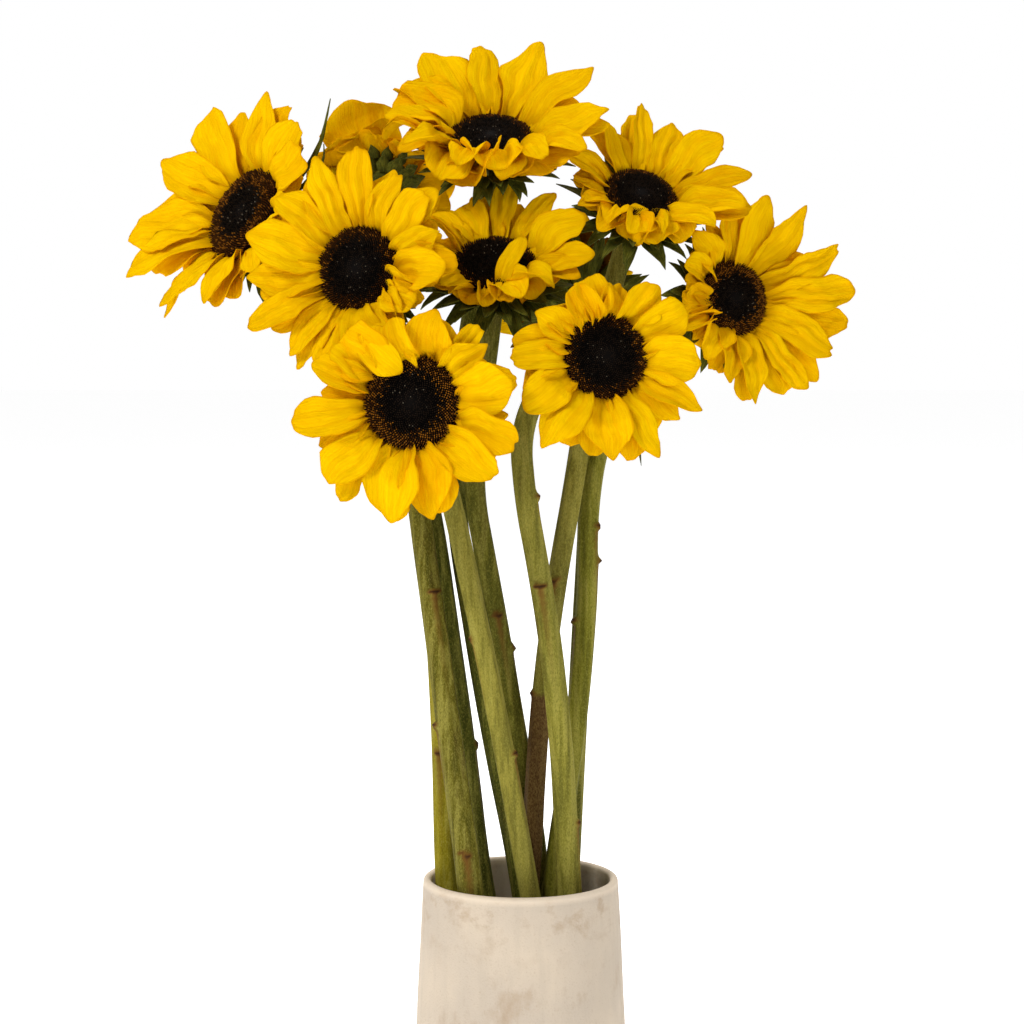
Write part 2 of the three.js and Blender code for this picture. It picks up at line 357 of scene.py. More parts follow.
def stalk_tree():
    tree, given, result = node_group("stalk", "GeometryNodeTree", SHAPE + [
        ("Foot radius", "Float"), ("Neck radius", "Float"), ("Steps", "Int"), ("Sides", "Int"),
        ("Rib depth", "Float"), ("Ribs", "Float"), ("Knobble", "Float"), ("Seed", "Float"),
        ("Skin", "Material")], SHAPE)
    line = node(tree, "GeometryNodeMeshToCurve", Mesh=given["Geometry"])
    smooth = node(tree, "GeometryNodeCurveSplineType", {"spline_type": "CATMULL_ROM"},
                  Curve=line.outputs[0])
    even = node(tree, "GeometryNodeResampleCurve", Curve=smooth.outputs[0], Count=given["Steps"])
    along = node(tree, "GeometryNodeSplineParameter").outputs["Factor"]
    loss = less(tree, given["Foot radius"], given["Neck radius"])
    thick = less(tree, given["Foot radius"], times(tree, loss, along))
    ring = node(tree, "GeometryNodeCurvePrimitiveCircle", Resolution=given["Sides"], Radius=1.0)
    round_about = node(tree, "GeometryNodeSplineParameter").outputs["Factor"]
    kept_ring = node(tree, "GeometryNodeStoreNamedAttribute", {"data_type": "FLOAT", "domain": "POINT"},
                     Geometry=ring.outputs[0], Name="around", Value=round_about)
    tube = node(tree, "GeometryNodeCurveToMesh", Curve=even.outputs[0],
                Profile_Curve=kept_ring.outputs[0], Scale=thick, Fill_Caps=True)
    turn = node(tree, "GeometryNodeInputNamedAttribute", {"data_type": "FLOAT"}, Name="around").outputs[0]
    phase = times(tree, times(tree, turn, given["Ribs"]), 2 * math.pi)
    ribs = times(tree, maths(tree, "SINE", phase), given["Rib depth"])
    place = node(tree, "GeometryNodeInputPosition").outputs[0]
    lengthwise = node(tree, "ShaderNodeVectorMath", {"operation": "MULTIPLY"}, n0=place,
                      n1=(1, 1, 0.3)).outputs[0]
    lumps = node(tree, "ShaderNodeTexNoise", {"noise_dimensions": "4D"}, Vector=lengthwise, Scale=60.0,
                 Detail=2.0, W=given["Seed"]).outputs["Fac"]
    swell = times(tree, less(tree, lumps, 0.55), given["Knobble"])
    push = node(tree, "ShaderNodeVectorMath", {"operation": "SCALE"},
                n0=node(tree, "GeometryNodeInputNormal").outputs[0])
    tree.links.new(plus(tree, ribs, swell), push.inputs["Scale"])
    shaped = node(tree, "GeometryNodeSetPosition", Geometry=tube.outputs[0], Offset=push.outputs[0])
    soft = node(tree, "GeometryNodeSetShadeSmooth", Geometry=shaped.outputs[0])
    whole = node(tree, "GeometryNodeRealizeInstances", Geometry=soft.outputs[0])
    skinned = node(tree, "GeometryNodeSetMaterial", Geometry=whole.outputs[0],
                   Material=given["Skin"])
    tree.links.new(skinned.outputs[0], result[0])
    return tree


SKIN = [("Color", "Color"), ("Height", "Float"), ("Roughness", "Float")]


# Hairy plant skin: long streaks, a fine stipple of pale hairs, and dry brown where the skin is torn.
def hairy_skin():
    tree, given, result = node_group("hairy_skin", "ShaderNodeTree", [
        ("Green", "Color"), ("Dry", "Color"), ("Torn", "Float"), ("Brown", "Color"),
        ("Brown below", "Float")], SKIN)
    streak = object_noise(tree, 260, (1, 1, 0.06), detail=3)
    patch = object_noise(tree, 30, (1, 1, 0.4), detail=4)
    stipple = object_noise(tree, 1500, (1, 1, 0.5), detail=3, roughness=0.75)
    plain = given["Green"]
    paler = blend(tree, 0.5, plain, (0.42, 0.37, 0.08))
    darker = blend(tree, 0.6, plain, (0.020, 0.024, 0.003))
    streaked = blend(tree, between(tree, streak, 0.46, 0.60, 0, 0.8), plain, paler)
    shaded = blend(tree, between(tree, streak, 0.36, 0.46, 0.65, 0), streaked, darker)
    patched = blend(tree, between(tree, patch, 0.36, 0.60, 0.5, 0), shaded, darker)
    tan = object_noise(tree, 90, (1, 1, 0.06), detail=3)
    tanned = blend(tree, between(tree, tan, 0.58, 0.68, 0, 0.5), patched, given["Dry"])
    haired = blend(tree, between(tree, stipple, 0.50, 0.68, 0, 0.42), tanned, (0.42, 0.38, 0.08))
    pitted = blend(tree, between(tree, stipple, 0.32, 0.48, 0.75, 0), haired, darker)
    rusty = blend(tree, between(tree, given["Torn"], 0.05, 0.7), pitted, (0.150, 0.068, 0.012))
    torn = blend(tree, between(tree, given["Torn"], 0.6, 0.95), rusty, given["Dry"])
    height = object_height(tree)
    edge = plus(tree, given["Brown below"], times(tree, less(tree, patch, 0.5), 0.05))
    depth = times(tree, less(tree, edge, height), 250)
    browned = node(tree, "ShaderNodeClamp", Value=depth).outputs[0]
    mottled = blend(tree, between(tree, stipple, 0.42, 0.62, 0, 0.75), given["Brown"], (0.19, 0.105, 0.040))
    final = blend(tree, times(tree, browned, 0.85), torn, mottled)
    tree.links.new(final, result["Color"])
    tree.links.new(plus(tree, stipple, times(tree, streak, 0.8)), result["Height"])
    tree.links.new(between(tree, stipple, 0.3, 0.7, 0.6, 0.85), result["Roughness"])
    return tree


HAIRY = hairy_skin()


# Lays a skin on a shader as its colour and roughness, and hands the skin's outputs back for a relief.
def cover(tree, shader, skin, **feeds):
    shown = node(tree, "ShaderNodeGroup", {"node_tree": skin}, **feeds).outputs
    tree.links.new(shown["Color"], shader.inputs["Base Color"])
    tree.links.new(shown["Roughness"], shader.inputs["Roughness"])
    return shown


def stalk_material(letter):
    def paint(tree, shader):
        torn = node(tree, "ShaderNodeAttribute", {"attribute_name": "torn"}).outputs["Fac"]
        brown_below = vase_high.z + BROWN_TOP.get(letter, NOT_BROWNED) * MM
        shown = cover(tree, shader, HAIRY, Green=STALK_TINTS[letter], Dry=DRY, Brown=BROWN_STALK,
                      Brown_below=brown_below, Torn=torn)
        bumped(tree, shader, shown["Height"], 0.35 * MM, 0.8)
    return material("stalk_skin_" + letter, STALK_TINTS[letter], 0.7, paint, Specular_IOR_Level=0.06)


def cad_points(name):
    points = np.array([v.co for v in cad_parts[name].data.vertices])
    return np.unique(np.round(points, 5), axis=0)


# The middle line of a stem: the middles of its rings, from the foot up, and its radius at the foot.
def middle_line(name):
    corners = cad_points(name)
    corners = corners[np.argsort(corners[:, 2])]
    middles = [corners[:RING_CORNERS].mean(0)]
    foot = np.linalg.norm(corners[:RING_CORNERS] - middles[0], axis=1).mean()
    left = corners[RING_CORNERS:]
    while len(left) >= RING_CORNERS:
        near = np.argsort(np.linalg.norm(left - middles[-1], axis=1))
        middles.append(left[near[:RING_CORNERS]].mean(0))
        left = left[near[RING_CORNERS:]]
    return middles, foot


# A stalk bends in an easy curve: each corner of its line is cut off twice over, and its ends stay.
def eased(line):
    for _ in range(2):
        cut = [line[0]]
        for first, second in zip(line, line[1:]):
            cut += [0.75 * first + 0.25 * second, 0.25 * first + 0.75 * second]
        line = cut + [line[-1]]
    return line


def tear_scars(made, middles, scars, dice):
    mesh = made.data
    points = np.zeros(len(mesh.vertices) * 3)
    mesh.vertices.foreach_get("co", points)
    points = points.reshape(-1, 3)
    heights = [middle[2] for middle in middles]
    centre = np.stack([np.interp(points[:, 2], heights, [m[axis] for m in middles]) for axis in (0, 1)], 1)
    out = points[:, :2] - centre
    reach = np.maximum(np.linalg.norm(out, axis=1), 1e-6)
    torn = np.zeros(len(points))
    for above_lip, side in scars:
        height, proud = vase_high.z / MM + above_lip, dice.uniform(*SCAR_STANDS)
        facing = np.array([math.cos(math.radians(side)), math.sin(math.radians(side))])
        turned_from = np.arccos(np.clip((out @ facing) / reach, -1, 1))
        drop = points[:, 2] - height * MM
        across = turned_from * (1 + 0.3 * np.sin(points[:, 2] * 1300 + side))
        ledge = np.exp(-(across / 0.50) ** 4) * np.clip(1.4 - np.abs(drop / LEDGE_HALF) ** 1.5, 0, 1)
        below = np.where(drop < 0, np.exp(drop / SWELLING), 0)
        points[:, :2] += out / reach[:, None] * ((ledge + 0.3 * below * np.exp(-(across / 0.45) ** 2))
                                                 * proud * MM)[:, None]
        edge = ledge * np.clip(1.4 - np.abs((drop - EDGE_LIFT) / LEDGE_EDGE) ** 2, 0, 1)
        streak = np.exp(-(across / 0.30) ** 2) * np.where(drop < 0, np.exp(drop / DRY_STREAK), 0)
        torn = np.maximum(torn, np.maximum(edge, streak * 0.8))
    mesh.vertices.foreach_set("co", points.ravel())
    mesh.attributes.new("torn", "FLOAT", "POINT").data.foreach_set("value", torn)
    mesh.update()


STALK = stalk_tree()
for number, letter in enumerate(LETTERS):
    middles, foot = middle_line("stem_" + letter)
    middles = eased(middles)
    stalk = grown("stalk_" + letter, middles, [(k, k + 1) for k in range(len(middles) - 1)], STALK, {
        "Foot radius": float(foot), "Neck radius": NECK, "Steps": STALK_STEPS, "Sides": STALK_SIDES,
        "Rib depth": RIB_DEPTH, "Ribs": RIBS, "Knobble": KNOBBLE, "Seed": float(number),
        "Skin": stalk_material(letter)})
    tear_scars(stalk, middles, SCARS.get(letter, ()), np.random.default_rng(number))
    hand_over(stalk, "stem", "stem_" + letter)


# ---- The green heads: each stem widens into a shallow cup, with rows of pointed leafy bracts.
# The bracts overlap like tiles, follow the back of the petals and curl out at their dry tips.
DISK_BACK = 4 * MM
CUP_DEPTH = 20 * MM
CUP_WIDTH = 0.9
CUP_STEPS = 14
CUP_SIDES = 40
CUP_END = 1.5 * MM
# How far to either side of a turn, in degrees, a bloom's solid is looked at for its reach there.
NEARBY = 14
BRACT_SEED = 40
BRACT_THICK = 0.6 * MM
# Painted shade: the greens of the cup and bracts are darker than the leaves' own green.
BRACT_GREEN_WITH_PAINTED_SHADE = (0.062, 0.070, 0.006)
BRACT_PALE_WITH_PAINTED_SHADE = (0.165, 0.160, 0.018)
# The bracts of one of the two blooms that face away have stayed short.
SHORT_BRACTS = {"i": 0.4}
# Rows of bracts: count, where they root (as a share of the disk, and how deep), length, width and rise.
BRACT_ROWS = ((15, 0.62, -13, 30, 9, (-5, 20, -15)), (17, 0.86, -8, 22, 8, (5, 25, 10)))


class Bloom:
    """A bloom's own axes, read from its disk: right, up and facing, from the middle of the disk's rim."""

    def __init__(self, letter):
        corners = cad_points("disk_" + letter)
        facing = np.linalg.svd(corners - corners.mean(0))[2][2]
        depths = (corners - corners.mean(0)) @ facing
        spread = np.linalg.norm(corners - corners.mean(0) - np.outer(depths, facing), axis=1)
        if spread[depths > depths.max() - 1 * MM].max() > spread[depths < depths.min() + 1 * MM].max():
            facing = -facing
        back = (corners @ facing).min()
        rim = corners[corners @ facing < back + 0.3 * MM]
        self.letter = letter
        self.facing = Vector(facing)
        self.right = Vector((0, 0, 1)).cross(self.facing).normalized()
        self.up = self.facing.cross(self.right)
        self.centre = Vector(rim.mean(0)) + self.facing * (DISK_BACK + (back - rim.mean(0) @ facing))
        flat = corners - np.array(self.centre)
        flat -= np.outer(flat @ facing, facing)
        self.disk = float(np.linalg.norm(flat, axis=1).max())
        axes = Matrix((self.right, self.up, self.facing)).transposed().to_4x4()
        self.place = Matrix.Translation(self.centre) @ axes
        rays = cad_points("rays_" + letter) - np.array(self.centre)
        across, along = rays @ np.array(self.right), rays @ np.array(self.up)
        self.ray_turns = np.degrees(np.arctan2(along, across))
        self.ray_reach = np.hypot(across, along)
        self.cup = float((rays @ facing).max())

    def reach(self, turn):
        near = np.abs((self.ray_turns - turn + 180) % 360 - 180) < NEARBY
        return float(self.ray_reach[near].max())


BLOOMS = {letter: Bloom(letter) for letter in LETTERS}


class Sheets:
    """Thin leaves and petals, joined: their points in a bloom's axes, their faces, tints and grain."""

    def __init__(self):
        self.points, self.faces, self.tints, self.grain = [], [], [], []

    def add(self, points, tint=0):
        rows, columns = points.shape[:2]
        first = sum(len(block) for block in self.points)
        self.points.append(points.reshape(-1, 3))
        across, along = np.meshgrid(np.linspace(0, 1, columns), np.linspace(0, 1, rows))
        self.grain.append(np.stack([across, along], -1).reshape(-1, 2))
        for row in range(rows - 1):
            for column in range(columns - 1):
                here = first + row * columns + column
                self.faces.append((here, here + columns, here + columns + 1, here + 1))
                self.tints.append(tint)

    def made(self, name, bloom, looks, thickness):
        points = np.concatenate(self.points)
        sheet = mesh_object(name, points, self.faces, looks[0])
        for look in looks[1:]:
            sheet.data.materials.append(look)
        sheet.data.polygons.foreach_set("material_index", self.tints)
        corners = np.array([corner for face in self.faces for corner in face])
        grain = np.concatenate(self.grain)[corners]
        sheet.data.uv_layers.new(name="grain").data.foreach_set("uv", grain.ravel())
        sheet.data.transform(bloom.place)
        solid = sheet.modifiers.new("thickness", "SOLIDIFY")
        solid.thickness = thickness
        solid.offset = -1
        return sheet


# How a tip is cut: how far its corners fall back, how sharply, and how deep its teeth are.
ROUND, POINTED, SQUARE = (0.30, 2.2, 0.0), (0.44, 1.6, 0.0), (0.20, 2.9, 0.03)
JAGGED, LANCE = (0.22, 2.6, 0.07), (0.58, 1.25, 0.0)


# The crumple of all blades starts from one fixed seed, so they come out the same each time.
CRUMPLE_SEED = 5
noise.seed_set(CRUMPLE_SEED)
# It has broad folds and fine ones, so many to a metre, the fine ones only this share as deep.
BROAD_FOLDS = 55
FINE_FOLDS = 170
FINE_SHARE = 0.22
# Where a blade is grooved, as a share of its half width from its midrib, which stands up.
GROOVE_AT = 0.36
GROOVE_WIDE = 0.13
MIDRIB_WIDE = 0.12
BEND_STEPS = 48


# A blade grows from its root along its midrib, which rises by three angles: root, middle and tip.
# Its section is an arc that opens from root to tip. Its tip is cut by the length of its columns.
def blade(turn, root, height, length, width, rise, *, tip, hold, crumple, seed, rows, columns, widest=0.45,
          trough=(60, 14), lean=0.0, twist=0.0, sweep=0.0, ripple=0.0, groove=0.0, heading=None, reach=None):
    along = np.linspace(0, 1, rows + 1)[:, None]
    across = np.linspace(-1, 1, columns + 1)[None, :]
    cut, power, notch = tip
    teeth = 0.5 + 0.5 * np.sin(across * 6.5 + seed) * np.cos(across * 3.1 + 2 * seed)
    far = along * (1 - cut * np.abs(across) ** power - notch * teeth * along ** 3)
    step = np.linspace(0, 1, BEND_STEPS + 1)
    angle = np.radians(np.interp(step, (0, 0.5, 1), rise))
    angle = np.convolve(np.pad(angle, 6, mode="edge"), np.ones(13) / 13, "valid")
    run = np.concatenate([[0], np.cumsum((np.cos(angle[1:]) + np.cos(angle[:-1])) / 2)]) / BEND_STEPS
    climb = np.concatenate([[0], np.cumsum((np.sin(angle[1:]) + np.sin(angle[:-1])) / 2)]) / BEND_STEPS
    if reach is not None:
        length = min((reach - root) / max(run[-1], 0.4), 1.5 * (reach - root))
    out, lift = length * np.interp(far, step, run), length * np.interp(far, step, climb)
    tilt = np.interp(far, step, angle)
    half = width / 2 * (hold + (1 - hold) * np.sin(np.pi / 2 * np.minimum(1, far / widest)))
    half = half * (1 - 0.25 * np.clip((far - 0.6) / 0.4, 0, 1) ** 2)
    bend = np.radians(trough[0] + (trough[1] - trough[0]) * np.minimum(1, far / 0.55))
    bend = np.where(np.abs(bend) < 0.02, 0.02, bend)
    side = half / bend * np.sin(bend * across)
    hollow = half / bend * (1 - np.cos(bend * across))
    lengthwise = np.sin(np.pi * far) ** 0.7
    hollow = hollow - groove * np.exp(-((np.abs(across) - GROOVE_AT) / GROOVE_WIDE) ** 2) * lengthwise
    hollow = hollow + groove * 0.5 * np.exp(-(across / MIDRIB_WIDE) ** 2) * lengthwise
    waves = np.sin(2 * np.pi * (1.6 * far + 0.17 * seed) + 1.7 * across + seed)
    hollow = hollow + ripple * width * np.abs(across) ** 1.5 * far * waves
    spin = np.radians(lean + twist * far)
    side, hollow = side * np.cos(spin) - hollow * np.sin(spin), side * np.sin(spin) + hollow * np.cos(spin)
    start = np.radians(turn)
    ahead = np.radians(turn if heading is None else heading)
    forward = np.array([np.cos(ahead), np.sin(ahead), 0])
    sideways = np.array([-np.sin(ahead), np.cos(ahead), 0])
    base = np.array([root * np.cos(start), root * np.sin(start), height])
    slide = side + sweep * length * far ** 2
    points = (base + (out - hollow * np.sin(tilt))[..., None] * forward + slide[..., None] * sideways
              + (lift + hollow * np.cos(tilt))[..., None] * np.array([0, 0, 1.0]))
    shift = Vector((seed * 3.7, 0, 0))
    for point in points.reshape(-1, 3):
        here = Vector(point)
        point += crumple * (np.array(noise.noise_vector(here * BROAD_FOLDS + shift))
                            + FINE_SHARE * np.array(noise.noise_vector(here * FINE_FOLDS + shift)))
    return points


def grain_noise(tree, grain, scale, stretch, detail):
    place = node(tree, "ShaderNodeMapping", Vector=grain, Scale=stretch).outputs[0]
    return node(tree, "ShaderNodeTexNoise", Vector=place, Scale=scale, Detail=detail).outputs["Fac"]


def bract_paint(tree, shader):
    grain = node(tree, "ShaderNodeUVMap", {"uv_map": "grain"}).outputs[0]
    veins = grain_noise(tree, grain, 9.0, (3, 0.35, 1), 3.0)
    patch = object_noise(tree, 130, detail=3)
    hairs = object_noise(tree, 1400, detail=2)
    # Both greens carry painted shade, darker than the leaves' own colour.
    green = blend(tree, between(tree, veins, 0.4, 0.65), BRACT_GREEN_WITH_PAINTED_SHADE, BRACT_PALE_WITH_PAINTED_SHADE)
    deeper = blend(tree, between(tree, patch, 0.35, 0.6, 0.6, 0), green, (0.018, 0.020, 0.003))
    furred = blend(tree, between(tree, hairs, 0.55, 0.75, 0, 0.25), deeper, (0.26, 0.25, 0.06))
    tree.links.new(furred, shader.inputs["Base Color"])
    tree.links.new(between(tree, patch, 0.3, 0.7, 0.55, 0.8), shader.inputs["Roughness"])
    bumped(tree, shader, veins, 0.4 * MM, 0.7)


BRACT_LOOK = material("leafy_bract_painted_shade", BRACT_GREEN_WITH_PAINTED_SHADE, 0.65, bract_paint, Specular_IOR_Level=0.06)
# Long bracts that show past the petals: turn, reach and width in mm, and the three angles of their rise.
LONG_BRACTS = {
    "a": [(300, 60, 7, (5, -10, -50)), (44, 84, 6, (5, 15, 35)), (34, 76, 4, (0, 20, 50))],
    "b": [(220, 64, 6, (0, -5, -25))],
    "e": [(235, 46, 9, (5, -15, -60)), (262, 48, 10, (0, -20, -75)), (290, 46, 10, (0, -25, -60)),
          (318, 52, 9, (0, -10, -40)), (200, 44, 8, (5, -10, -55)), (340, 44, 8, (5, 0, -30))],
    "f": [(300, 62, 5, (0, -5, -15))],
    "g": [(215, 42, 8, (0, -10, -45)), (250, 42, 9, (0, -20, -60)), (285, 40, 8, (0, -20, -50))],
    "d": [(230, 42, 8, (0, -15, -45)), (262, 40, 9, (0, -25, -55)), (300, 40, 8, (0, -20, -45))],
    "j": [(60, 44, 7, (5, 0, -30))],
}


def head(bloom):
    leaves = Sheets()
    dice = np.random.default_rng(BRACT_SEED + LETTERS.index(bloom.letter))
    steps = np.linspace(0, 1, CUP_STEPS + 1)[:, None]
    turns = np.linspace(0, 2 * np.pi, CUP_SIDES + 1)[None, :]
    reach = NECK + (bloom.disk * CUP_WIDTH - NECK) * np.sin(np.pi / 2 * steps) ** 1.3
    deep = -DISK_BACK - CUP_DEPTH * (1 - steps) ** 1.6
    reach = np.vstack([[[0.0]], reach, [[0.0]]])
    deep = np.vstack([[deep[0] - CUP_END], deep, [[-DISK_BACK * 0.7]]])
    cup = np.stack([reach * np.cos(turns), reach * np.sin(turns), deep + 0 * turns], -1)
    leaves.add(cup.transpose(1, 0, 2))
    short = SHORT_BRACTS.get(bloom.letter, 1)
    for count, start, deep, length, width, rise in BRACT_ROWS:
        for turn in np.arange(count) * 360 / count + dice.uniform(0, 360):
            leaves.add(blade(turn + dice.uniform(-6, 6), bloom.disk * start, deep * MM,
                             length * short * dice.uniform(0.85, 1.15) * MM,
                             width * dice.uniform(0.85, 1.2) * MM,
                             [angle + dice.uniform(-8, 8) for angle in rise], tip=LANCE, hold=0.75,
                             widest=0.25, trough=(45, 25), lean=8, twist=dice.uniform(-15, 15),
                             sweep=dice.uniform(-0.15, 0.15), crumple=1.2 * MM, seed=dice.uniform(0, 9),
                             rows=10, columns=6))
    for turn, reach, width, rise in LONG_BRACTS.get(bloom.letter, []):
        leaves.add(blade(turn, bloom.disk * 0.8, -10 * MM, 0, width * MM, rise, tip=LANCE, hold=0.8,
                         widest=0.3, trough=(40, 25), sweep=dice.uniform(-0.2, 0.2), crumple=1.5 * MM,
                         seed=turn, rows=14, columns=6, reach=reach * MM))
    made = leaves.made("green_head_" + bloom.letter, bloom, [BRACT_LOOK], BRACT_THICK)
    hand_over(made, "leaf_green", "calyx_" + bloom.letter, "bracts_" + bloom.letter)


for bloom in BLOOMS.values():
    head(bloom)


# ---- The petals: 27 to 45 to a bloom, thin and velvety, grooved along their length, in three rows.
# No two are alike: each grows out towards the reach of its bloom, round or pointed, and some have curled up.
# They are rooted round the rim of the disk, over the bracts.
PETAL_THICK = 0.35 * MM
PETAL_OVERLAP = 3 * MM
# The last tint, dark brown, is painted shade for the rear rows of one bloom.
TINTS = ((0.930, 0.570, 0.001), (0.920, 0.545, 0.001), (0.925, 0.560, 0.001), (0.905, 0.515, 0.001),
         (0.810, 0.410, 0.001), (0.170, 0.070, 0.002))
# Painted shade: brown at a petal's root, next to the disk.
ROOT_SHADE = (0.46, 0.150, 0.001)
# Row by row from the front: spread of reach and of breadth, how far it falls back, and odds of each tint. The
# two darker tints, dealt more often to the rear rows, are painted shade as well as the petals' varied tone.
ROWS = (((0.90, 1.04), (0.70, 1.30), 0, (0.42, 0.20, 0.30, 0.08, 0, 0)),
        ((0.80, 1.03), (0.65, 1.25), 9, (0.20, 0.35, 0.20, 0.25, 0, 0)),
        ((0.66, 0.86), (0.90, 1.30), 17, (0.10, 0.25, 0.10, 0.40, 0.15, 0)))
# Rows and columns of faces in a petal, for each row of petals.
PETAL_MESH = ((22, 16), (18, 12), (12, 8))
TIP_SHAPES = (ROUND, POINTED, SQUARE, JAGGED)
TIP_ODDS = (0.30, 0.34, 0.18, 0.18)
# How each bloom has grown: its seed, petals in a row, their breadth, and where they have curled up. A curl
# is the turn at its middle, how far it goes to either side, and how much shorter it leaves its petals.
HABITS = {
    "a": (700, 11, 1.00, ()),
    "b": (733, 15, 0.98, ((312, 48, 0.18),)),
    "c": (702, 12, 1.10, ((118, 42, 0.18),)),
    "d": (723, 12, 1.05, ((265, 65, 0.18), (165, 30, 0.18))),
    "e": (714, 12, 0.95, ((265, 80, 0.18), (125, 30, 0.10))),
    "f": (725, 12, 1.05, ((115, 60, 0.18),)),
    "g": (716, 13, 0.95, ((250, 70, 0.18),)),
    "h": (707, 14, 1.00, ((185, 75, 0.18),)),
    "i": (708, 9, 1.30, ((125, 55, 0.55), (15, 50, 0.55))),
    "j": (709, 12, 1.00, ((180, 70, 0.45),)),
}
# The bloom whose two rear rows are painted dark brown as shade.
SHADE_PAINTED_BLOOM = "j"
# The turn at which the first petal of a row stands, where it isn't left to chance.
FIRST_TURN = {"i": 65}
# Petals that have folded in, over a disk or beside it: where they root, which way they lie, and their bend.
FOLDED = {
    "c": [dict(turn=128, out=22, height=7, heading=318, length=32, width=19, rise=(20, 0, -30),
               trough=(30, 20)),
          dict(turn=105, out=14, height=6, heading=305, length=24, width=8, rise=(20, 0, -30), tip=LANCE)],
    "e": [dict(turn=278, heading=62, length=34, width=11, rise=(60, 30, 10), tip=SQUARE, trough=(50, 30))],
    "g": [dict(turn=238, heading=15, length=13, width=12, rise=(60, 20, -10), tip=POINTED, trough=(40, 20)),
          dict(turn=285, heading=40, length=9, width=12, rise=(60, 20, -10), tip=POINTED, trough=(40, 20))],
}


# Petal skin: fine veins, and painted shade: a darker line in each groove, orange towards the edge and brown
# at the root.
def petal_skin():
    tree, given, result = node_group("petal_skin", "ShaderNodeTree", [
        ("Grain", "Vector"), ("Tint", "Color"), ("Deeper", "Color"), ("Edge", "Color"),
        ("Root", "Color")], SKIN)
    grain, tint, deeper = given["Grain"], given["Tint"], given["Deeper"]
    place = node(tree, "ShaderNodeSeparateXYZ", Vector=grain).outputs
    lines = grain_noise(tree, grain, 6.0, (4, 0.25, 1), 3.0)
    veins = grain_noise(tree, grain, 6.0, (15, 0.5, 1), 2.0)
    cloud = object_noise(tree, 55, detail=3)
    wrinkle = object_noise(tree, 330, detail=3)
    lined = blend(tree, between(tree, lines, 0.42, 0.66, 0, 0.6), tint, deeper)
    veined = blend(tree, between(tree, veins, 0.55, 0.64, 0, 0.60), lined, deeper)
    clouded = blend(tree, between(tree, cloud, 0.50, 0.70, 0, 0.5), veined, deeper)
    root = plus(tree, place["Y"], times(tree, lines, 0.14))
    across = less(tree, times(tree, place["X"], 2.0), 1.0)
    off_middle = maths(tree, "ABSOLUTE", across)
    # Painted shade: a darker line along each groove, which also reads as a vein.
    off_groove = maths(tree, "ABSOLUTE", less(tree, off_middle, GROOVE_AT))
    wandering = plus(tree, off_groove, times(tree, cloud, 0.06))
    grooved = blend(tree, between(tree, wandering, 0.03, 0.10, 0.5, 0), clouded, deeper)
    # Painted shade: orange along each petal's edges and at its tip.
    edge = maths(tree, "MAXIMUM", between(tree, off_middle, 0.90, 1.0, 0, 0.6),
                 between(tree, place["Y"], 0.95, 1.0, 0, 0.5))
    edge_shaded = blend(tree, edge, grooved, given["Edge"])
    # Painted shade: brown towards the root.
    rooted = blend(tree, between(tree, root, 0.06, 0.32, 0.7, 0), edge_shaded, given["Root"])
    relief = plus(tree, plus(tree, lines, veins), times(tree, wrinkle, 0.8))
    tree.links.new(rooted, result["Color"])
    tree.links.new(relief, result["Height"])
    tree.links.new(between(tree, lines, 0.3, 0.7, 0.62, 0.8), result["Roughness"])
    return tree


PETAL_SKIN = petal_skin()


# A colour with each of its three parts brought down by its own share.
def deepened(colour, shares):
    return tuple(part * share for part, share in zip(colour, shares))


def petal_material(number, tint):
    def paint(tree, shader):
        grain = node(tree, "ShaderNodeUVMap", {"uv_map": "grain"}).outputs[0]
        shown = cover(tree, shader, PETAL_SKIN, Grain=grain, Tint=tint, Root=ROOT_SHADE,
                      Deeper=deepened(tint, (0.90, 0.75, 0.8)), Edge=deepened(tint, (0.85, 0.60, 0.8)))
        bumped(tree, shader, shown["Height"], 0.7 * MM, 0.8)
    return material("petal_%d" % number, tint, 0.7, paint, Specular_IOR_Level=0.0)


PETAL_LOOKS = [petal_material(number, tint) for number, tint in enumerate(TINTS)]


